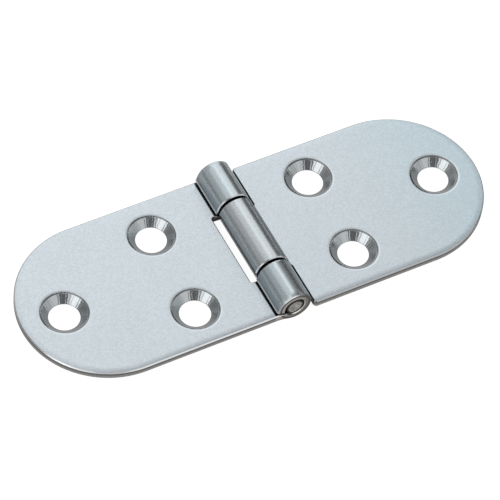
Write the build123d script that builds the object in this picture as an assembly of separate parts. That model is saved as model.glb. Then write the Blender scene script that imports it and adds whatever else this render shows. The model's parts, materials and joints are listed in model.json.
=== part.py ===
from build123d import *
from math import cos, radians, sin, sqrt, tan
import os

# Flat table hinge: two round-ended sheet leaves, rolled round one pin.
# Millimetres. X runs along the opened hinge, Y along the pin, Z up.
# The origin lies under the middle of the pin, level with the lowest line of the barrel.

# Driving dimensions of the leaves
leaf_reach = 50.0            # pin axis to the tip of a leaf's round end
leaf_width = 36.0            # along the pin, and twice the radius of the round end
sheet_thickness = 1.7
edge_break = 0.22            # all edges of the stamped sheet are broken by this much
outer_corner_round = 0.7     # leaf corners beside the other leaf's knuckles
inner_corner_round = 0.4     # corners where a knuckle leaves its leaf

# Driving dimensions of the barrel
pin_diameter = 3.6
pin_clearance = 0.06         # all round the pin, in each knuckle
pin_end_inset = 0.05         # pin ends inside the barrel's end faces
pin_end_chamfer = 0.06
bore_mouth = 0.34            # by which the bore widens at both ends of the barrel
centre_knuckle_length = 15.95
knuckle_gap = 0.6            # along the pin, between neighbouring knuckles
dip = 0.76                   # how far the sheet drops below its leaf to pass under the pin
dip_radius = 8.0             # bend that starts the drop, at mid sheet
tail_angle = 15.0            # where the roll runs out straight, above the level of the axis
tail_gap = 0.42              # between the rolled end's outer corner and the leaf under it
tail_cut_angle = 14.0        # slope of the cut end, which opens the gap outwards
tail_corner_extra = 0.15     # by which the rolled end's corners are rounder than the edges are broken
notch_clearance = 1.19       # between the centre knuckle and the notch that it swings in
shoulder_clearance = 0.9     # between the end knuckles and the edges that swing past them

# Driving dimensions of the screw holes
hole_diameter = 6.3
countersink_diameter = 9.4
countersink_angle = 90.0
rim_break = 0.2              # rim of a countersink
inner_hole_distance = 17.5   # pin axis to the pair of holes
inner_hole_margin = 8.3      # leaf's side edge to the pair of holes
end_hole_margin = 9.0        # leaf's tip to the single hole

# Two places or sizes nearer than this are one
same_place = 1e-6

# Sizes that follow
half_sheet = sheet_thickness / 2
pin_radius = pin_diameter / 2
bore_radius = pin_radius + pin_clearance
knuckle_radius = bore_radius + sheet_thickness
axis_height = knuckle_radius
leaf_underside = dip
leaf_top = leaf_underside + sheet_thickness
half_width = leaf_width / 2
centre_half_length = centre_knuckle_length / 2
notch_edge = knuckle_radius + notch_clearance
shoulder_edge = knuckle_radius + shoulder_clearance
round_centre = leaf_reach - half_width
hole_places = [
    (inner_hole_distance, half_width - inner_hole_margin),
    (inner_hole_distance, inner_hole_margin - half_width),
    (leaf_reach - end_hole_margin, 0),
]


def sheet_section():
    """Side view of one leaf: its flat to the right, then the dip and the roll round the pin."""
    axis = Vector(0, axis_height)
    mid_level = leaf_underside + half_sheet
    mid_roll = bore_radius + half_sheet
    bend_drop = dip_radius + axis_height - mid_level
    bend = Vector(sqrt((dip_radius + mid_roll) ** 2 - bend_drop ** 2), mid_level - dip_radius)
    to_bend = (bend - axis).normalized()
    slope = radians(tail_angle)
    cut = radians(tail_cut_angle)
    to_tail = Vector(cos(slope), sin(slope))
    along_cut = Vector(cos(cut), sin(cut))

    def dip_arc(radius):
        """Bend that leads from the flat down to the roll."""
        middle = (Vector(0, 1) - to_bend).normalized()
        return ThreePointArc(bend + Vector(0, radius), bend + middle * radius, bend - to_bend * radius)

    def roll(radius):
        """Roll from the foot of the dip, under and over the pin, to the straight end."""
        return ThreePointArc(axis + to_bend * radius, axis - Vector(radius, 0), axis + to_tail * radius)

    top_dip = dip_arc(dip_radius + half_sheet)
    under_dip = dip_arc(dip_radius - half_sheet)
    inside = roll(bore_radius)
    outside = roll(knuckle_radius)
    tail_drop = (outside @ 1).Y - leaf_top - tail_gap
    outer_end = outside @ 1 + Vector(tail_drop * tan(slope), -tail_drop)
    inner_end = outer_end - along_cut * (sheet_thickness / cos(slope - cut))
    section = make_face([
        Line((leaf_reach, leaf_top), top_dip @ 0),
        top_dip,
        inside,
        Line(inside @ 1, inner_end),
        Line(inner_end, outer_end),
        Line(outer_end, outside @ 1),
        outside,
        under_dip,
        Line(under_dip @ 0, (leaf_reach, leaf_underside)),
        Line((leaf_reach, leaf_underside), (leaf_reach, leaf_top)),
    ])
    tail_corners = [section.vertices().sort_by_distance(end)[0] for end in (inner_end, outer_end)]
    return fillet(tail_corners, edge_break + tail_corner_extra)


def round_ended_outline():
    """Top view of a leaf with its round end, running on past the barrel."""
    past_barrel = 2 * knuckle_radius
    bar = Pos((round_centre - past_barrel) / 2, 0) * Rectangle(round_centre + past_barrel, leaf_width)
    return bar + Pos(round_centre, 0) * Circle(half_width)


def knuckle_room(edge, low, high):
    """Top view of the room for a knuckle of the other leaf, with round corners at this leaf's edge."""
    depth = 2 * edge
    room = Pos(edge - depth / 2, (low + high) / 2) * Rectangle(depth, high - low)
    return fillet(room.vertices().group_by(Axis.X)[-1], inner_corner_round)


def two_knuckle_outline():
    """Top view of the leaf with the outer knuckles, notched for the centre one."""
    half_notch = centre_half_length + knuckle_gap
    return round_ended_outline() - knuckle_room(notch_edge, -half_notch, half_notch)


def one_knuckle_outline():
    """Top view of the leaf with the centre knuckle, cut back on both sides of it."""
    past_side = half_width + 2 * inner_corner_round
    outline = round_ended_outline()
    outline -= knuckle_room(shoulder_edge, centre_half_length, past_side)
    outline -= knuckle_room(shoulder_edge, -past_side, -centre_half_length)
    at_edge = outline.vertices().filter_by_position(Axis.X, shoulder_edge / 2, round_centre / 2)
    sides = at_edge.group_by(Axis.Y)
    return fillet(sides[0] + sides[-1], outer_corner_round)


def screw_hole():
    """Countersunk hole on the Z axis, to cut away, with its rim at the leaf's top face."""
    hole_radius = hole_diameter / 2
    rim_radius = countersink_diameter / 2
    cone_depth = (rim_radius - hole_radius) / tan(radians(countersink_angle / 2))
    sunk = (Align.CENTER, Align.CENTER, Align.MAX)
    cone = Cone(hole_radius, rim_radius, cone_depth, align=sunk)
    drill = Cylinder(hole_radius, 2 * sheet_thickness)
    return Pos(0, 0, leaf_top) * (cone + drill)


def circles(solid, radius):
    """Round edges of a solid that have this radius."""
    round_edges = solid.edges().filter_by(GeomType.CIRCLE)
    return round_edges.filter_by(lambda edge: abs(edge.radius - radius) < same_place)


def leaf(outline, edge):
    """One leaf with its flat along +X, cut from the rolled sheet to its outline in top view."""
    above_barrel = 3 * knuckle_radius
    rolled = extrude(Plane.XZ * sheet_section(), half_width, both=True)
    blank = rolled & extrude(outline, above_barrel)
    along_pin = blank.edges().filter_by(Axis.Y)
    beside_barrel = along_pin.filter_by(lambda line: abs(line.center().X - edge) < same_place)
    smooth = chamfer(circles(blank, half_width) + beside_barrel, edge_break)
    for x, y in hole_places:
        smooth -= Pos(x, y) * screw_hole()
    return chamfer(circles(smooth, countersink_diameter / 2), rim_break)


def barrel_mouth():
    """Widening of the bore at the barrel's rear end, to cut away."""
    outward = (Align.CENTER, Align.CENTER, Align.MAX)
    mouth = Cone(bore_radius, bore_radius + bore_mouth, bore_mouth, align=outward)
    return Pos(0, half_width, axis_height) * Rot(-90, 0, 0) * mouth


def two_knuckle_leaf():
    """Leaf to the left of the pin, rolled into the barrel's two end knuckles."""
    mouth = barrel_mouth()
    to_left = Rot(0, 0, 180)
    return to_left * leaf(two_knuckle_outline(), notch_edge) - mouth - to_left * mouth


def one_knuckle_leaf():
    """Leaf to the right of the pin, rolled into the barrel's centre knuckle."""
    return leaf(one_knuckle_outline(), shoulder_edge)


def hinge_pin():
    """Plain pin through the three knuckles, with chamfered ends."""
    pin = Cylinder(pin_radius, leaf_width - 2 * pin_end_inset)
    pin = chamfer(circles(pin, pin_radius), pin_end_chamfer)
    return Pos(0, 0, axis_height) * Rot(90, 0, 0) * pin


pieces = {
    "two_knuckle_leaf": two_knuckle_leaf(),
    "one_knuckle_leaf": one_knuckle_leaf(),
    "hinge_pin": hinge_pin(),
}
os.makedirs("parts", exist_ok=True)
for name, piece in pieces.items():
    export_step(piece, f"parts/{name}.step")
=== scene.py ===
import json
from math import cos, pi, radians, sin
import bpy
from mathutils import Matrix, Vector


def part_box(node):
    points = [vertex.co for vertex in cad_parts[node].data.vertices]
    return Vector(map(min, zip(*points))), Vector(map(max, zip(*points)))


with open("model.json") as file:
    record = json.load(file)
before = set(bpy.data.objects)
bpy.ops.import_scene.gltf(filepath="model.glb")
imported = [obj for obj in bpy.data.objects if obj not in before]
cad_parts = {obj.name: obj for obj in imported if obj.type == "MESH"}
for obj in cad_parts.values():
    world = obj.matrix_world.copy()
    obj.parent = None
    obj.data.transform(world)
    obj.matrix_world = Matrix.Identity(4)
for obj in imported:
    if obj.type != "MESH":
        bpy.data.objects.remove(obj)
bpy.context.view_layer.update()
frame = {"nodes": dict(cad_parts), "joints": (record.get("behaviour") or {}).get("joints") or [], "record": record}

from types import SimpleNamespace

import bmesh
import bpy
from bpy.props import FloatProperty, FloatVectorProperty, PointerProperty
from bpy.types import Operator, Panel, PropertyGroup
from mathutils import Matrix, Vector

bl_info = {
    "name": "Table Hinge",
    "version": (1, 0, 0),
    "blender": (4, 5, 0),
    "location": "3D View > Sidebar > Hinge",
    "description": "Finishes the leaves and the pin of a flat table hinge and sets up its studio",
    "category": "Object",
}

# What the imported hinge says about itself, in metres
mounts = {mount["name"]: mount for mount in frame["record"]["mounts"]}
pin_axis = frame["joints"][0]["pos_m"]
screw_pair = mounts["right_screw_pair"]
end_screw = mounts["right_end_screw"]
leaf_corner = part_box("one_knuckle_leaf")[1]

# Sizes of the hinge that the finishes follow, in millimetres
mm = 0.001
sheet_thickness = 1.7
edge_break = 0.22            # edges of the sheet
rim_break = 0.2              # rim of a countersink
notch_edge = 4.75            # pin axis to the edge of the notch beside the centre knuckle
mouth_radius = 2.2           # bore where it widens at the barrel's ends
tail_gap = 0.42              # slit between a rolled end and the leaf under it
tail_reach = 3.87            # pin axis to the outer corner of a rolled end
tail_cut_slope = 0.25        # of a rolled end's cut face
barrel_margin = 0.55         # from the knuckles' outside to where the flat of a leaf begins
leaf_reach = leaf_corner[0] / mm
half_width = leaf_corner[1] / mm
round_centre = leaf_reach - half_width
outer_knuckle_start = half_width / 2
knuckle_radius = pin_axis[2] / mm
barrel_reach = knuckle_radius + barrel_margin
leaf_top = mounts["right_underside"]["pos_m"][2] / mm + sheet_thickness
slit_top = leaf_top + tail_gap
pair_distance = screw_pair["pos_m"][0] / mm
pair_half_spacing = screw_pair["dims"]["spacing_y_mm"] / 2
end_distance = end_screw["pos_m"][0] / mm
hole_land = end_screw["dims"]["length_mm"]
hole_radius = screw_pair["dims"]["hole_r_mm"]
rim_radius = hole_radius + sheet_thickness - hole_land + rim_break
pin_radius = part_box("hinge_pin")[1][0] / mm

# Limits of how far a surface faces up, or on the barrel how little it faces along the pin
faces_up = 0.3               # top of a leaf, above this
faces_down = -0.5            # underside of a leaf, below this
faces_sideways = 0.2         # sheared walls, below this
broken_edge = (0.22, 0.95)   # broken edges, between these
cut_end = 0.9                # ends of the pin, which face along it by more than this

# Where the finishes and the painted light and shade begin and end, in millimetres
hair = 0.02                  # by which a mask passes the edge that it follows
side_depth = 0.5             # of the strip that counts as a leaf's side or a barrel's end
gap_depth = 0.3              # past the notch's edge, of the walls inside the gap, painted as shade
rim_line = (0.35, 0.2)       # inside a countersink's rim, where its painted shade line begins and is full
rim_shine = (0.05, 0.35)     # outside it, where its painted highlight line lies
burnish = (0.9, 0.5)         # below the top of a leaf, where a sheared wall turns from torn to smooth
end_rim_line = 0.46          # width of the painted shade line inside the edge of the barrel's ends
mouth_line = 0.14            # width of the painted shade line round the bore's mouth
mouth_line_fade = (-0.6, 0.4)    # height over the pin's axis less X, where that line begins and is full
mouth_clean = (-0.9, 0.1)    # along X, where the bore's mouth turns from painted shade to painted highlight
mouth_dirt_margin = 0.13     # that the painted shade reaches past the mouth, and stays short of it in the bore
foot_height = 0.7            # of the painted highlight at the foot of a rolled end, above the slit
foot_depth = 0.25            # of that foot, inside the rolled end's corner
grime_top = 2.0              # above the pin's axis, where the painted shade beside the slits ends
grime_bottom = (1.4, 0.4)    # below the top of a leaf, where that painted shade begins and is full
blue_end = (0.0, 1.5)        # along X, where the bluer left and top of the outer knuckles end
front_stain = (0.2, 1.3)     # along X, of the painted shade on the front knuckle
centre_stain = (2.2, 2.7)    # along X, where the painted shade on the centre knuckle begins and is full
slit_shadow = (0.6, 0.3)     # below and above the top of a leaf, under a rolled end
slit_wedge = (0.05, 0.4)     # above the top of a leaf and above the slit, of the wedge painted dark as shade at the barrel's ends
slit_wedge_end = -1.8        # along X
roll_line = (0.1, 0.3)       # before and past the barrel's reach, painted shadow line on the right leaf
edge_turn = (-5.0, 5.0)      # along X, where the edges turn from bright to painted shade
end_edge_turn = (-0.5, 1.0)  # along X, the same at the barrel's ends
pin_rim = 0.33               # rim of the pin's cut ends painted near black as shade


class Sketch:
    """Adds nodes to one node tree and joins them."""

    def __init__(self, tree):
        self.tree = tree

    def node(self, kind, values=None, **settings):
        """A node with its settings and its inputs, which are sockets to join or plain values."""
        made = self.tree.nodes.new(kind)
        for name, value in settings.items():
            setattr(made, name, value)
        for key, value in (values or {}).items():
            self.feed(made.inputs[key], value)
        return made

    def feed(self, socket, value):
        """Joins a socket to another one, or sets its plain value."""
        if isinstance(value, bpy.types.NodeSocket):
            self.tree.links.new(value, socket)
        else:
            socket.default_value = value

    def math(self, operation, *values):
        return self.node("ShaderNodeMath", dict(enumerate(values)), operation=operation).outputs[0]

    def add(self, first, second):
        return self.math("ADD", first, second)

    def less(self, first, second):
        return self.math("SUBTRACT", first, second)

    def times(self, first, *others):
        """Product of values, or the place where all of some masks meet."""
        product = first
        for other in others:
            product = self.math("MULTIPLY", product, other)
        return product

    def any_of(self, first, *others):
        """The place that at least one of some masks covers."""
        covered = first
        for other in others:
            covered = self.math("MAXIMUM", covered, other)
        return covered

    def off(self, mask):
        """The place that a mask leaves free."""
        return self.less(1.0, mask)

    def above(self, value, limit):
        return self.math("GREATER_THAN", value, limit)

    def below(self, value, limit):
        return self.math("LESS_THAN", value, limit)

    def size(self, value):
        """A value without its sign."""
        return self.math("ABSOLUTE", value)

    def length(self, x, y):
        """Length of a line with these two parts."""
        return self.math("SQRT", self.add(self.times(x, x), self.times(y, y)))

    def smooth_step(self, value, low, high):
        """0 where the value is below low, 1 above high, and smooth between them."""
        values = {"Value": value, "From Min": low, "From Max": high}
        return self.node("ShaderNodeMapRange", values, interpolation_type="SMOOTHSTEP").outputs[0]

    def band(self, value, low, high, soft):
        """1 where the value lies between low and high, with soft borders."""
        begun = self.smooth_step(value, low - soft, low + soft)
        ended = self.smooth_step(value, high - soft, high + soft)
        return self.times(begun, self.off(ended))

    def mix(self, mask, first, second):
        """Value that goes from first to second with the mask."""
        return self.node("ShaderNodeMix", {0: mask, 2: first, 3: second}, data_type="FLOAT").outputs[0]

    def mix_colour(self, mask, first, second):
        """Colour that goes from first to second with the mask."""
        return self.node("ShaderNodeMix", {0: mask, 6: first, 7: second}, data_type="RGBA").outputs[2]

    def varied(self, shade, values, spread):
        """Colour that is darker and lighter by a part of itself, as the shade goes from 0 to 1."""
        return self.mix_colour(shade, tinted(values, 1.0 - spread), tinted(values, 1.0 + spread))

    def apart(self, vector):
        """The three parts of a vector."""
        return self.node("ShaderNodeSeparateXYZ", {0: vector}).outputs

    def together(self, x, y, z):
        return self.node("ShaderNodeCombineXYZ", {0: x, 1: y, 2: z}).outputs[0]

    def place(self):
        """Object coordinates in millimetres."""
        metres = self.node("ShaderNodeTexCoord").outputs["Object"]
        scaled = self.node("ShaderNodeVectorMath", {0: metres, "Scale": 1 / mm}, operation="SCALE")
        return scaled.outputs[0]

    def facing(self):
        """The way that the surface faces, in the object's own directions."""
        return self.node("ShaderNodeTexCoord").outputs["Normal"]

    def noise(self, vector, scale, detail=2.0, roughness=0.5):
        values = {"Vector": vector, "Scale": scale, "Detail": detail, "Roughness": roughness}
        return self.node("ShaderNodeTexNoise", values).outputs["Fac"]

    def contrast(self, noise, low=0.3, high=0.7):
        """A noise whose middle values are spread out from 0 to 1."""
        return self.smooth_step(noise, low, high)

    def bump(self, height, depth, **settings):
        """Bump node, where a height of 1 stands for this depth in metres."""
        values = {"Strength": 1.0, "Distance": depth, "Height": height}
        return self.node("ShaderNodeBump", values, **settings)

    def group(self, tree, values):
        """A shared node group, placed with its own values."""
        placed = self.node("ShaderNodeGroup", node_tree=tree)
        for key, value in values.items():
            self.feed(placed.inputs[key], value)
        return placed.outputs

    def metal(self, base, dullness, normal):
        """Metal with its colour, roughness and relief, as the material's surface."""
        shader = self.node("ShaderNodeBsdfPrincipled", {
            "Base Color": base, "Metallic": 1.0, "Roughness": dullness, "Normal": normal})
        self.surface(shader)

    def surface(self, shader):
        """Makes a shader the material's surface."""
        self.node("ShaderNodeOutputMaterial", {"Surface": shader.outputs[0]})


def colour(values):
    """Colour of three parts as a socket takes it."""
    return (*values, 1.0)


def tinted(values, factor):
    """Colour made lighter or darker."""
    return colour([min(1.0, factor * part) for part in values])


white = colour((1.0, 1.0, 1.0))


def new_group(name, inputs, outputs):
    """An empty shader node group with its sockets, and the nodes at its two ends."""
    tree = bpy.data.node_groups.new(name, "ShaderNodeTree")
    for key, start in inputs.items():
        socket = tree.interface.new_socket(key, in_out="INPUT", socket_type="NodeSocketFloat")
        socket.default_value = start
    for key in outputs:
        tree.interface.new_socket(key, in_out="OUTPUT", socket_type="NodeSocketFloat")
    sketch = Sketch(tree)
    return sketch, sketch.node("NodeGroupInput").outputs, sketch.node("NodeGroupOutput").inputs


def steel_grain():
    """Group with the grain that runs along the pin, and cloudy patches, each from 0 to 1."""
    found = bpy.data.node_groups.get("steel_grain")
    if found:
        return found
    inputs = {"Strokes": 8.0, "Stretch": 0.2, "Patches": 0.13}
    sketch, given, out = new_group("steel_grain", inputs, ["Grain", "Patch"])
    place = sketch.place()
    x, y, z = sketch.apart(place)
    along = sketch.times(y, given["Stretch"])
    strokes = sketch.noise(sketch.together(x, along, z), given["Strokes"], detail=3.0, roughness=0.6)
    patches = sketch.noise(place, given["Patches"], detail=3.0, roughness=0.55)
    sketch.feed(out["Grain"], strokes)
    sketch.feed(out["Patch"], patches)
    return sketch.tree


def new_material(name):
    """An empty material, and a sketch of its nodes."""
    material = bpy.data.materials.new(name)
    material.use_nodes = True
    material.node_tree.nodes.clear()
    return material, Sketch(material.node_tree)


def nearest_hole(sketch, x, y):
    """Place of a point as seen from the screw hole that it is nearest to."""
    leaf_side = sketch.math("SIGN", x)
    pair_x = sketch.less(x, sketch.times(leaf_side, pair_distance))
    pair_y = sketch.less(y, sketch.times(sketch.math("SIGN", y), pair_half_spacing))
    end_x = sketch.less(x, sketch.times(leaf_side, end_distance))
    half_way = (pair_distance + end_distance) / 2
    at_end = sketch.above(sketch.size(x), half_way)
    return sketch.mix(at_end, pair_x, end_x), sketch.mix(at_end, pair_y, y)


def outline_distance(sketch, x, y):
    """How far a point of a leaf lies inside the leaf's long sides and round end."""
    past_centre = sketch.math("MAXIMUM", sketch.less(sketch.size(x), round_centre), 0.0)
    return sketch.less(half_width, sketch.length(past_centre, y))


def mark_holes(sketch, at):
    """Masks of the countersinks, with the painted shade line inside their rims and the painted highlight line
    outside them.
    """
    at.hole_x, at.hole_y = nearest_hole(sketch, at.x, at.y)
    at.from_hole = sketch.length(at.hole_x, at.hole_y)
    off_underside = sketch.above(at.facing_z, faces_down)
    at.in_sink = sketch.times(sketch.below(at.from_hole, rim_radius - hair), off_underside)
    dark_from, dark_to = rim_line
    at.at_rim = sketch.smooth_step(at.from_hole, rim_radius - dark_from, rim_radius - dark_to)
    shine_from, shine_to = rim_shine
    shine = sketch.band(at.from_hole, rim_radius + shine_from, rim_radius + shine_to, soft=0.05)
    at.round_rim = sketch.times(shine, at.looks_up)


def mark_cuts(sketch, at):
    """Masks of the sheared walls and the broken edges, told by the way they face."""
    off_sink = sketch.off(at.in_sink)
    at.on_barrel = sketch.below(at.across, barrel_reach)
    at.beside_barrel = sketch.below(at.across, notch_edge + gap_depth)
    at_side = sketch.above(at.side, half_width - side_depth)
    at.off_side = sketch.off(at_side)
    at.barrel_end = sketch.times(at.on_barrel, at_side)
    at.facing_barrel = sketch.times(sketch.less(at.beside_barrel, at.on_barrel), at.off_side)
    along_barrel = sketch.off(sketch.size(at.facing_y))
    level = sketch.mix(at.on_barrel, sketch.size(at.facing_z), along_barrel)
    at.sheared = sketch.times(sketch.below(level, faces_sideways), off_sink)
    at.edge = sketch.times(sketch.band(level, *broken_edge, soft=0.01), off_sink)
    torn, smooth = burnish
    at.burnished = sketch.smooth_step(at.z, leaf_top - torn, leaf_top - smooth)


def mark_barrel_ends(sketch, at):
    """Masks of the barrel's ends: the painted highlight on the bore's mouth, painted shade lines along the rims,
    and the painted highlight at the foot of the rolled end.
    """
    at.from_pin = sketch.length(at.x, sketch.less(at.z, knuckle_radius))
    at.mouth_clean = sketch.smooth_step(at.x, *mouth_clean)
    in_mouth = sketch.below(at.from_pin, mouth_radius + hair)
    at.mouth = sketch.times(at.barrel_end, in_mouth, at.mouth_clean)
    # Painted shade: dark lines inside the edge of the barrel's ends, and round the upper left of the bore's mouth.
    rim_end = knuckle_radius - edge_break
    outer_rim = sketch.band(at.from_pin, rim_end - end_rim_line, rim_end, soft=0.06)
    inner_rim = sketch.band(at.from_pin, mouth_radius, mouth_radius + mouth_line, soft=0.03)
    begun, full = mouth_line_fade
    leaning = sketch.less(at.z, at.x)
    upper_left = sketch.smooth_step(leaning, knuckle_radius + begun, knuckle_radius + full)
    at.end_rim = sketch.any_of(outer_rim, sketch.times(inner_rim, upper_left))
    # Painted highlight at the foot of each rolled end.
    foot = sketch.band(at.z, slit_top, slit_top + foot_height, soft=0.08)
    corner = sketch.band(at.across, tail_reach - foot_depth, barrel_reach, soft=hair)
    at.tail_foot = sketch.times(foot, corner)


def mark_stains(sketch, at):
    """Masks of the painted shade low beside the slits and on the front and centre knuckles, and the bluer tint of
    the outer knuckles.
    """
    # Painted shade: the knuckles are darker low down beside the slits.
    below_top = sketch.off(sketch.smooth_step(at.z, slit_top, knuckle_radius + grime_top))
    begun, full = grime_bottom
    at.grimy = sketch.times(below_top, sketch.smooth_step(at.z, leaf_top - begun, leaf_top - full))
    outer_knuckle = sketch.above(at.side, outer_knuckle_start)
    at.blued = sketch.times(outer_knuckle, sketch.off(sketch.smooth_step(at.x, *blue_end)))
    front_knuckle = sketch.below(at.y, -outer_knuckle_start)
    on_front = sketch.times(front_knuckle, sketch.band(at.x, *front_stain, soft=0.5))
    centre_knuckle = sketch.below(at.side, outer_knuckle_start)
    on_centre = sketch.times(centre_knuckle, sketch.smooth_step(at.x, *centre_stain))
    # Painted shade on the front and centre knuckles.
    at.stained = sketch.any_of(on_front, on_centre)


def mark_recesses(sketch, at):
    """Mask of the painted shade in the slits, gaps and bore of the barrel, round the bore's mouth and in a line
    beside the roll on the right leaf.
    """
    in_bore = sketch.times(at.on_barrel, sketch.below(at.from_pin, mouth_radius - mouth_dirt_margin))
    near_mouth = sketch.times(at.barrel_end, sketch.below(at.from_pin, mouth_radius + mouth_dirt_margin))
    lower_left = sketch.times(sketch.off(at.mouth_clean), sketch.below(at.z, knuckle_radius))
    mouth_dirt = sketch.times(near_mouth, lower_left)
    in_gap = sketch.times(at.sheared, at.beside_barrel, at.off_side)
    rolled = sketch.times(at.on_barrel, sketch.off(sketch.any_of(at.sheared, at.edge)))
    under, over = slit_shadow
    under_roll = sketch.times(rolled, sketch.band(at.z, leaf_top - under, leaf_top + over, soft=0.1))
    cut_drop = sketch.times(sketch.add(at.x, tail_reach), tail_cut_slope)
    from_leaf, past_slit = slit_wedge
    wedge = sketch.band(sketch.add(at.z, cut_drop), leaf_top + from_leaf, slit_top + past_slit, soft=hair)
    slit_mouth = sketch.times(wedge, at.barrel_end, sketch.below(at.x, slit_wedge_end))
    on_leaf = sketch.times(at.looks_up, sketch.below(at.z, leaf_top + hair))
    before, past = roll_line
    line = sketch.band(at.x, barrel_reach - before, barrel_reach + past, soft=0.05)
    beside_roll = sketch.times(on_leaf, line)
    # Painted shade: all of these are painted near black, where shade falls.
    at.recess = sketch.any_of(in_gap, in_bore, mouth_dirt, under_roll, slit_mouth, beside_roll)


def leaf_places(sketch):
    """Masks for the places on a leaf that look different, and the values that they come from."""
    at = SimpleNamespace()
    at.place = sketch.place()
    at.x, at.y, at.z = sketch.apart(at.place)
    at.across = sketch.size(at.x)
    at.side = sketch.size(at.y)
    at.facing_y, at.facing_z = sketch.apart(sketch.facing())[1:]
    at.looks_up = sketch.above(at.facing_z, faces_up)
    mark_holes(sketch, at)
    mark_cuts(sketch, at)
    mark_barrel_ends(sketch, at)
    mark_stains(sketch, at)
    mark_recesses(sketch, at)
    return at


def flat_colour(sketch, at, speckle, patch, finish):
    """Satin flats, with the right leaf's tip painted darker and bluer as shade, and painted highlight lines round
    the countersinks.
    """
    speckle_share, patch_share, spread, rim_tint = 0.7, 0.3, 0.1, 1.1
    speckled = sketch.times(sketch.contrast(speckle), speckle_share)
    shade = sketch.add(speckled, sketch.times(patch, patch_share))
    flat = sketch.varied(shade, finish.leaf_colour, spread)
    # Painted shade: the right leaf's tip darker and bluer.
    tip = sketch.varied(shade, finish.tip_colour, spread)
    flat = sketch.mix_colour(sketch.smooth_step(at.x, pair_distance, leaf_reach), flat, tip)
    # Painted highlight: a bright line round each countersink's rim.
    return sketch.mix_colour(at.round_rim, flat, tinted(finish.leaf_colour, rim_tint))


def barrel_colour(sketch, at, speckle, grain, finish):
    """Rolled knuckles with their grain and bluer outer knuckles, painted shade low beside the slits, and painted
    shade on the front and centre knuckles.
    """
    grain_share, speckle_share, spread = 0.4, 0.6, 0.15
    grime_tint, stain_tint = 0.4, 0.35
    grained = sketch.times(sketch.contrast(grain), grain_share)
    strokes = sketch.add(grained, sketch.times(speckle, speckle_share))
    barrel = sketch.varied(strokes, finish.barrel_colour, spread)
    barrel = sketch.mix_colour(at.blued, barrel, sketch.varied(strokes, finish.blued_colour, spread))
    # Painted shade low beside the slits, then on the front and centre knuckles.
    barrel = sketch.mix_colour(at.grimy, barrel, tinted(finish.barrel_colour, grime_tint))
    return sketch.mix_colour(at.stained, barrel, tinted(finish.barrel_colour, stain_tint))


def wall_colour(sketch, at, finish):
    """Sheared walls, torn below and burnished above, and the barrel's cut ends, painted lighter to the upper left
    and darker to the lower right as light and shade, with painted shade lines along their rims.
    """
    tear_stretch, tear_spread, burnish_tint = 0.15, 0.3, 0.45
    lower_right_tint, upper_left_tint, rim_tint = 0.6, 1.3, 0.3
    streaks = sketch.together(at.x, at.y, sketch.times(at.z, tear_stretch))
    tears = sketch.noise(streaks, scale=4.0, detail=3.0)
    torn = sketch.varied(tears, finish.wall_colour, tear_spread)
    wall = sketch.mix_colour(at.burnished, torn, tinted(finish.wall_colour, burnish_tint))
    # Painted light and shade: the barrel's cut ends are lighter to the upper left and darker to the lower right.
    leaning = sketch.less(sketch.less(at.z, knuckle_radius), at.x)
    upper_left = sketch.smooth_step(leaning, -knuckle_radius, knuckle_radius)
    dark = tinted(finish.barrel_end_colour, lower_right_tint)
    light = tinted(finish.barrel_end_colour, upper_left_tint)
    barrel_end = sketch.mix_colour(upper_left, dark, light)
    # Painted shade lines along the rims of the barrel's ends.
    barrel_end = sketch.mix_colour(at.end_rim, barrel_end, tinted(finish.barrel_end_colour, rim_tint))
    return sketch.mix_colour(at.barrel_end, wall, barrel_end)


def edge_colour(sketch, at, bright, finish):
    """Worn edges of the sheet, with painted shade on the right, beside the barrel and on the right of the barrel's
    ends, and painted highlights on the bore's mouth and the rolled end's foot.
    """
    right_tint, beside_barrel_tint, end_right_tint, bright_tint = 0.6, 0.25, 0.3, 1.25
    plain = colour(finish.edge_colour)
    # Painted shade: edges darker on the right, beside the barrel and on the right of the barrel's ends.
    on_right = sketch.smooth_step(at.x, *edge_turn)
    worn = sketch.mix_colour(on_right, plain, tinted(finish.edge_colour, right_tint))
    worn = sketch.mix_colour(at.facing_barrel, worn, tinted(finish.edge_colour, beside_barrel_tint))
    end_right = sketch.smooth_step(at.x, *end_edge_turn)
    end_edge = sketch.mix_colour(end_right, plain, tinted(finish.edge_colour, end_right_tint))
    worn = sketch.mix_colour(at.barrel_end, worn, end_edge)
    return sketch.mix_colour(bright, worn, tinted(finish.edge_colour, bright_tint))


def leaf_colours(sketch, at, grain, patch, finish):
    """Colour of a leaf at each of its places."""
    sink_rim_tint = 0.5
    speckle = sketch.noise(at.place, scale=2.6, roughness=0.7)
    flat = flat_colour(sketch, at, speckle, patch, finish)
    steel = sketch.mix_colour(at.on_barrel, flat, barrel_colour(sketch, at, speckle, grain, finish))
    steel = sketch.mix_colour(at.sheared, steel, wall_colour(sketch, at, finish))
    # Painted highlights on the bore's mouth and at the foot of each rolled end.
    bright = sketch.any_of(at.mouth, at.tail_foot)
    worn = edge_colour(sketch, at, bright, finish)
    steel = sketch.mix_colour(sketch.any_of(at.edge, bright), steel, worn)
    turned = colour(finish.countersink_colour)
    # Painted shade: a dark line inside each countersink's rim.
    rim = tinted(finish.countersink_colour, sink_rim_tint)
    steel = sketch.mix_colour(at.in_sink, steel, sketch.mix_colour(at.at_rim, turned, rim))
    # Painted shade: slits, gaps and bore near black.
    return sketch.mix_colour(at.recess, steel, colour(finish.recess_colour))


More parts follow.
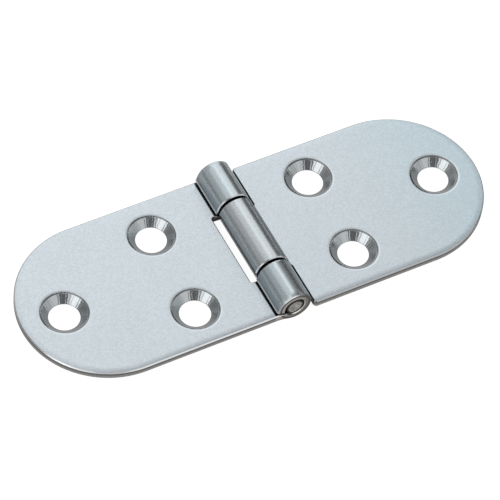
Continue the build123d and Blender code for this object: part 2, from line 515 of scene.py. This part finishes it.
def leaf_dullness(sketch, at, patch, finish):
    """Roughness of a leaf at each of its places."""
    torn, burnished, worn, spread = 0.55, 0.35, 0.24, 0.1
    dullness = sketch.add(finish.leaf_roughness - spread / 2, sketch.times(patch, spread))
    dullness = sketch.mix(at.on_barrel, dullness, finish.barrel_roughness)
    dullness = sketch.mix(at.sheared, dullness, sketch.mix(at.burnished, torn, burnished))
    dullness = sketch.mix(at.edge, dullness, worn)
    return sketch.mix(at.in_sink, dullness, finish.countersink_roughness)


def tool_marks(sketch, at):
    """Height of the countersinks' marks: chatter across the turned face, and fine rings."""
    chatter_waves, chatter_wander, chatter_height = 46.0, 9.0, 0.5
    ring_waves, ring_height = 26.0, 0.25
    round_hole = sketch.math("ARCTAN2", at.hole_y, at.hole_x)
    wander = sketch.noise(sketch.together(at.hole_x, at.hole_y, at.z), scale=1.1)
    waves = sketch.add(sketch.times(round_hole, chatter_waves), sketch.times(wander, chatter_wander))
    chatter = sketch.times(sketch.math("SINE", waves), chatter_height)
    rings = sketch.times(sketch.math("SINE", sketch.times(at.from_hole, ring_waves)), ring_height)
    return sketch.add(chatter, rings)


def drawn_edge(sketch, distance, width):
    """How far the die drew the sheet down, from 1 at its cut edge to 0 at this width."""
    left = sketch.less(1.0, sketch.math("DIVIDE", distance, width))
    return sketch.math("POWER", sketch.math("MAXIMUM", left, 0.0), 2.0)


def leaf_relief(sketch, at, grain, finish):
    """Grain, the countersinks' tool marks and the edges that the die drew down, as a normal."""
    marks = sketch.times(tool_marks(sketch, at), finish.tool_depth / finish.grain_depth)
    fine = sketch.bump(sketch.mix(at.in_sink, grain, marks), finish.grain_depth)
    width = finish.drawn_width / mm
    along_outline = drawn_edge(sketch, outline_distance(sketch, at.x, at.y), width)
    rim_width, rim_height = 0.35 * width, 0.5
    along_rim = drawn_edge(sketch, sketch.less(at.from_hole, rim_radius), rim_width)
    along_rim = sketch.times(along_rim, sketch.less(rim_height, sketch.times(at.in_sink, rim_height)))
    drawn = sketch.times(sketch.any_of(along_outline, along_rim), at.looks_up)
    edges = sketch.bump(drawn, finish.drawn_depth, invert=True)
    sketch.feed(edges.inputs["Normal"], fine.outputs[0])
    return edges.outputs[0]


def leaf_steel(finish):
    """Satin sheet steel with worn edges, sheared walls, slits painted dark as shade, painted highlights and turned
    countersinks.
    """
    material, sketch = new_material("leaf_satin_steel")
    at = leaf_places(sketch)
    grain, patch = sketch.group(steel_grain(), {"Strokes": 8.0, "Stretch": 0.2, "Patches": 0.13})
    base = leaf_colours(sketch, at, grain, patch, finish)
    dullness = leaf_dullness(sketch, at, patch, finish)
    sketch.metal(base, dullness, leaf_relief(sketch, at, grain, finish))
    return material


def pin_steel(finish):
    """Plain wire steel, smooth along the pin and roughly cut at its ends, with its length and the rim of its ends
    painted near black as shade.
    """
    material, sketch = new_material("pin_wire_steel")
    grain, patch = sketch.group(steel_grain(), {"Strokes": 3.0, "Stretch": 0.3, "Patches": 1.6})
    x, y, z = sketch.apart(sketch.place())
    from_axis = sketch.length(x, sketch.less(z, knuckle_radius))
    faces_out = sketch.above(sketch.size(sketch.apart(sketch.facing())[1]), cut_end)
    # The rim of each cut end and the pin's length are painted near black as shade.
    on_end = sketch.times(faces_out, sketch.below(from_axis, pin_radius - pin_rim))
    mottled = sketch.varied(sketch.contrast(patch, 0.35, 0.65), finish.pin_end_colour, spread=0.3)
    steel = sketch.mix_colour(on_end, colour(finish.pin_colour), mottled)
    smooth, rough, patch_dullness, patch_height = 0.3, 0.35, 0.25, 2.0
    dullness = sketch.mix(on_end, smooth, sketch.add(rough, sketch.times(patch, patch_dullness)))
    height = sketch.add(grain, sketch.times(patch, patch_height))
    sketch.metal(steel, dullness, sketch.bump(height, finish.pin_grain_depth).outputs[0])
    return material


def seen_directly(sketch):
    """1 for what the camera sees, straight or in a mirror or through glass."""
    path = sketch.node("ShaderNodeLightPath").outputs
    return sketch.any_of(path["Is Camera Ray"], path["Is Glossy Ray"], path["Is Transmission Ray"])


def floor_paper(studio):
    """White paper that keeps the hinge's shadow and is clear from below."""
    material, sketch = new_material("floor_paper")
    glow = sketch.times(seen_directly(sketch), studio.floor_glow)
    light = sketch.node("ShaderNodeEmission", {"Color": white, "Strength": glow})
    paper = sketch.node("ShaderNodeBsdfDiffuse", {"Color": colour(studio.floor_colour)})
    both = sketch.node("ShaderNodeAddShader", {0: light.outputs[0], 1: paper.outputs[0]})
    clear = sketch.node("ShaderNodeBsdfTransparent")
    behind = sketch.node("ShaderNodeNewGeometry").outputs["Backfacing"]
    sketch.surface(sketch.node("ShaderNodeMixShader", {0: behind, 1: both.outputs[0], 2: clear.outputs[0]}))
    return material


def card_paint(name, grey):
    """Plain grey of one studio card."""
    material, sketch = new_material(name)
    sketch.surface(sketch.node("ShaderNodeEmission", {"Color": white, "Strength": grey}))
    return material


def direction(turn, height):
    """Way out from the hinge: turn from +X towards +Y and height above the floor, in degrees."""
    level = cos(radians(height))
    return Vector((cos(radians(turn)) * level, sin(radians(turn)) * level, sin(radians(height))))


def facing_hinge(turn, height, distance):
    """Placing for something that looks at the hinge from a distance."""
    out = direction(turn, height)
    return Matrix.Translation(out * distance) @ out.to_track_quat("Z", "Y").to_matrix().to_4x4()


def sheet_object(name, width, length, placing, material):
    """Flat sheet of the studio."""
    mesh = bpy.data.meshes.new(name)
    made = bmesh.new()
    bmesh.ops.create_grid(made, x_segments=1, y_segments=1, size=0.5)
    bmesh.ops.scale(made, vec=(width, length, 1.0), verts=made.verts)
    bmesh.ops.transform(made, matrix=placing, verts=made.verts)
    made.to_mesh(mesh)
    made.free()
    mesh.materials.append(material)
    sheet = bpy.data.objects.new(name, mesh)
    bpy.context.scene.collection.objects.link(sheet)
    return sheet


def only_reflected(sheet):
    """Leaves a sheet to the steel's reflections alone."""
    sheet.visible_camera = False
    sheet.visible_diffuse = False
    sheet.visible_shadow = False
    sheet.visible_transmission = False


def studio_card(name, turn, height, distance, width, length, grey):
    """Grey card that only the steel's reflections show."""
    placing = facing_hinge(turn, height, distance)
    only_reflected(sheet_object(name, width, length, placing, card_paint(name, grey)))


def studio_mat(name, width, length, grey):
    """Grey mat just above the floor that only the steel's reflections show."""
    above_floor = Matrix.Translation((0.0, 0.0, 0.1 * mm))
    only_reflected(sheet_object(name, width, length, above_floor, card_paint(name, grey)))


def softbox(name, turn, height, distance, size, brightness):
    """Soft lamp that looks at the hinge, as bright as a white card of that strength."""
    lamp = bpy.data.lights.new(name, "AREA")
    lamp.shape = "SQUARE"
    lamp.size = size
    lamp.energy = pi * size ** 2 * brightness
    box = bpy.data.objects.new(name, lamp)
    box.matrix_world = facing_hinge(turn, height, distance)
    bpy.context.scene.collection.objects.link(box)


def studio_world(studio):
    """White room: white where it is seen, dimmer where it lights."""
    world = bpy.data.worlds.new("studio")
    world.use_nodes = True
    world.node_tree.nodes.clear()
    sketch = Sketch(world.node_tree)
    strength = sketch.mix(seen_directly(sketch), studio.room_light, 1.0)
    room = sketch.node("ShaderNodeBackground", {"Color": white, "Strength": strength})
    sketch.node("ShaderNodeOutputWorld", {"Surface": room.outputs[0]})
    bpy.context.scene.world = world


def studio_camera(studio):
    """Long lens that sees the hinge from the left front, from well above."""
    azimuth, elevation, roll = studio.camera_azimuth, studio.camera_elevation, studio.camera_roll
    back = Vector((sin(azimuth) * cos(elevation), -cos(azimuth) * cos(elevation), sin(elevation)))
    level = Vector((cos(azimuth), sin(azimuth), 0.0))
    upward = back.cross(level)
    right = cos(roll) * level + sin(roll) * upward
    up = cos(roll) * upward - sin(roll) * level
    placing = Matrix((right, up, back)).transposed().to_4x4()
    placing.translation = Vector(studio.camera_target) + back * studio.camera_distance
    lens = bpy.data.cameras.new("camera")
    lens.sensor_width = 36.0
    lens.lens = studio.camera_lens
    lens.clip_start = 0.01
    camera = bpy.data.objects.new("camera", lens)
    camera.matrix_world = placing
    bpy.context.scene.collection.objects.link(camera)
    bpy.context.scene.camera = camera


class HingeFinish(PropertyGroup):
    """Colours and finish of the hinge's steel."""

    leaf_colour: FloatVectorProperty(
        name="Leaf colour", description="Satin flats of both leaves", subtype="COLOR",
        default=(0.66, 0.727, 0.77), min=0.0, max=1.0)
    # Painted shade: the right leaf's tip darker and bluer than the rest of the flat.
    tip_colour: FloatVectorProperty(
        name="Tip colour", description="Satin flat at the right leaf's tip", subtype="COLOR",
        default=(0.594, 0.705, 0.76), min=0.0, max=1.0)
    barrel_colour: FloatVectorProperty(
        name="Barrel colour", description="Rolled knuckles", subtype="COLOR",
        default=(0.62, 0.672, 0.70), min=0.0, max=1.0)
    blued_colour: FloatVectorProperty(
        name="Blued colour", description="Bluer left and top of the outer knuckles", subtype="COLOR",
        default=(0.597, 0.678, 0.713), min=0.0, max=1.0)
    edge_colour: FloatVectorProperty(
        name="Edge colour", description="Worn edges of the sheet", subtype="COLOR",
        default=(0.74, 0.76, 0.78), min=0.0, max=1.0)
    wall_colour: FloatVectorProperty(
        name="Wall colour", description="Sheared sides of the sheet", subtype="COLOR",
        default=(0.51, 0.493, 0.475), min=0.0, max=1.0)
    barrel_end_colour: FloatVectorProperty(
        name="Barrel end colour", description="Cut ends of the barrel", subtype="COLOR",
        default=(0.56, 0.517, 0.473), min=0.0, max=1.0)
    # Painted shade: this colour fills the slits, gaps and bore of the barrel, where shade falls.
    recess_colour: FloatVectorProperty(
        name="Recess colour", description="Oil and dirt in the slits of the barrel", subtype="COLOR",
        default=(0.06, 0.058, 0.055), min=0.0, max=1.0)
    countersink_colour: FloatVectorProperty(
        name="Countersink colour", description="Turned faces of the screw holes", subtype="COLOR",
        default=(0.45, 0.475, 0.487), min=0.0, max=1.0)
    # Painted shade: the pin's length near black, as the shade in the bore.
    pin_colour: FloatVectorProperty(
        name="Pin colour", description="Length of the pin", subtype="COLOR",
        default=(0.06, 0.058, 0.056), min=0.0, max=1.0)
    pin_end_colour: FloatVectorProperty(
        name="Pin end colour", description="Cut ends of the pin", subtype="COLOR",
        default=(0.56, 0.535, 0.508), min=0.0, max=1.0)
    leaf_roughness: FloatProperty(
        name="Leaf roughness", description="How dull the flats are", subtype="FACTOR",
        default=0.36, min=0.0, max=1.0)
    barrel_roughness: FloatProperty(
        name="Barrel roughness", description="How dull the knuckles are", subtype="FACTOR",
        default=0.24, min=0.0, max=1.0)
    countersink_roughness: FloatProperty(
        name="Countersink roughness", description="How dull the turned faces are", subtype="FACTOR",
        default=0.13, min=0.0, max=1.0)
    grain_depth: FloatProperty(
        name="Grain depth", description="Depth of the grain of the leaves", subtype="DISTANCE",
        unit="LENGTH", default=0.000006, min=0.000001, max=0.0001, precision=6)
    tool_depth: FloatProperty(
        name="Tool depth", description="Depth of the countersinks' tool marks", subtype="DISTANCE",
        unit="LENGTH", default=0.000012, min=0.0, max=0.0001, precision=6)
    drawn_width: FloatProperty(
        name="Drawn width", description="Strip beside the outline that the die drew down", subtype="DISTANCE",
        unit="LENGTH", default=0.0015, min=0.0001, max=0.005, precision=4)
    drawn_depth: FloatProperty(
        name="Drawn depth", description="How far the die drew the outline down", subtype="DISTANCE",
        unit="LENGTH", default=0.00015, min=0.0, max=0.0005, precision=5)
    pin_grain_depth: FloatProperty(
        name="Pin grain depth", description="Depth of the marks on the pin", subtype="DISTANCE",
        unit="LENGTH", default=0.00002, min=0.0, max=0.0002, precision=6)


class HingeStudio(PropertyGroup):
    """Camera, floor and light around the hinge."""

    camera_azimuth: FloatProperty(
        name="Azimuth", description="Turn of the camera round the hinge", subtype="ANGLE", unit="ROTATION",
        default=radians(-32.6364))
    camera_elevation: FloatProperty(
        name="Elevation", description="Height of the camera's view above the floor", subtype="ANGLE",
        unit="ROTATION", default=radians(53.5915))
    camera_roll: FloatProperty(
        name="Roll", description="Tilt of the camera about its own view", subtype="ANGLE", unit="ROTATION",
        default=radians(6.7595))
    camera_distance: FloatProperty(
        name="Distance", description="Camera to its target", subtype="DISTANCE", unit="LENGTH",
        default=0.675372, min=0.1)
    camera_lens: FloatProperty(
        name="Lens", description="Focal length on a 36 mm sensor, in millimetres", default=246.041, min=10.0)
    camera_target: FloatVectorProperty(
        name="Target", description="Point that the camera looks at", subtype="TRANSLATION", unit="LENGTH",
        default=(-0.0003864, 0.0000483, 0.0))
    floor_colour: FloatVectorProperty(
        name="Floor colour", description="Part of the floor that takes light and shadow", subtype="COLOR",
        default=(0.35, 0.35, 0.35), min=0.0, max=1.0)
    floor_glow: FloatProperty(
        name="Floor glow", description="White that the floor shows even in shadow", subtype="FACTOR",
        default=0.88, min=0.0, max=1.0)
    room_light: FloatProperty(
        name="Room light", description="Light from the white room on dull surfaces", default=0.75, min=0.0)


class HINGE_OT_finish_leaves(Operator):
    """Give both leaves their satin steel with worn edges and turned countersinks"""

    bl_idname = "hinge.finish_leaves"
    bl_label = "Finish Leaves"

    def execute(self, context):
        steel = leaf_steel(context.scene.hinge_finish)
        for node in ("two_knuckle_leaf", "one_knuckle_leaf"):
            frame["nodes"][node].material_slots[0].material = steel
        return {"FINISHED"}


class HINGE_OT_finish_pin(Operator):
    """Give the pin its wire steel with cut ends"""

    bl_idname = "hinge.finish_pin"
    bl_label = "Finish Pin"

    def execute(self, context):
        frame["nodes"]["hinge_pin"].material_slots[0].material = pin_steel(context.scene.hinge_finish)
        return {"FINISHED"}


class HINGE_OT_set_stage(Operator):
    """Lay the floor and set up the cards, lamps, room and camera"""

    bl_idname = "hinge.set_stage"
    bl_label = "Set Stage"

    def execute(self, context):
        studio = context.scene.hinge_studio
        floor_size = 4.0
        sheet_object("floor", floor_size, floor_size, Matrix.Identity(4), floor_paper(studio))
        studio_card("card_left", turn=136, height=27, distance=0.8, width=0.86, length=1.04, grey=0.45)
        studio_card("card_left_low", turn=150, height=8, distance=0.78, width=1.0, length=0.4, grey=0.26)
        studio_card("card_back_left", turn=112, height=57, distance=0.78, width=0.4, length=0.3, grey=0.75)
        studio_card("card_back_low", turn=100, height=3, distance=0.77, width=0.7, length=0.2, grey=0.6)
        studio_card("card_right_back", turn=27, height=13, distance=0.45, width=0.31, length=0.31, grey=0.12)
        studio_card("card_right_low", turn=357, height=5, distance=0.8, width=0.44, length=0.26, grey=0.1)
        studio_card("card_right_front", turn=327, height=24, distance=0.8, width=0.42, length=0.3, grey=0.7)
        studio_card("card_overhead", turn=3.6, height=71, distance=0.8, width=0.55, length=0.75, grey=0.35)
        studio_card("card_camera_side", turn=250, height=36, distance=0.8, width=0.5, length=0.5, grey=0.2)
        studio_mat("mat", width=0.32, length=0.26, grey=0.42)
        softbox("softbox_back", turn=77, height=59, distance=0.9, size=0.4, brightness=0.2)
        softbox("softbox_left", turn=192, height=31, distance=0.9, size=0.5, brightness=0.85)
        studio_world(studio)
        studio_camera(studio)
        context.scene.view_settings.view_transform = "Standard"
        return {"FINISHED"}


class HINGE_PT_sidebar(Panel):
    """Finish and studio of the hinge"""

    bl_label = "Table Hinge"
    bl_space_type = "VIEW_3D"
    bl_region_type = "UI"
    bl_category = "Hinge"

    def draw(self, context):
        for settings in (context.scene.hinge_finish, context.scene.hinge_studio):
            box = self.layout.box()
            for name in settings.__annotations__:
                box.prop(settings, name)
        for step in steps:
            self.layout.operator(step.bl_idname)


steps = (HINGE_OT_finish_leaves, HINGE_OT_finish_pin, HINGE_OT_set_stage)
classes = (HingeFinish, HingeStudio, *steps, HINGE_PT_sidebar)


def register():
    for entry in classes:
        bpy.utils.register_class(entry)
    bpy.types.Scene.hinge_finish = PointerProperty(type=HingeFinish)
    bpy.types.Scene.hinge_studio = PointerProperty(type=HingeStudio)


def unregister():
    del bpy.types.Scene.hinge_studio
    del bpy.types.Scene.hinge_finish
    for entry in reversed(classes):
        bpy.utils.unregister_class(entry)


def main():
    register()
    bpy.ops.hinge.finish_leaves()
    bpy.ops.hinge.finish_pin()
    bpy.ops.hinge.set_stage()


if __name__ == "__main__":
    main()
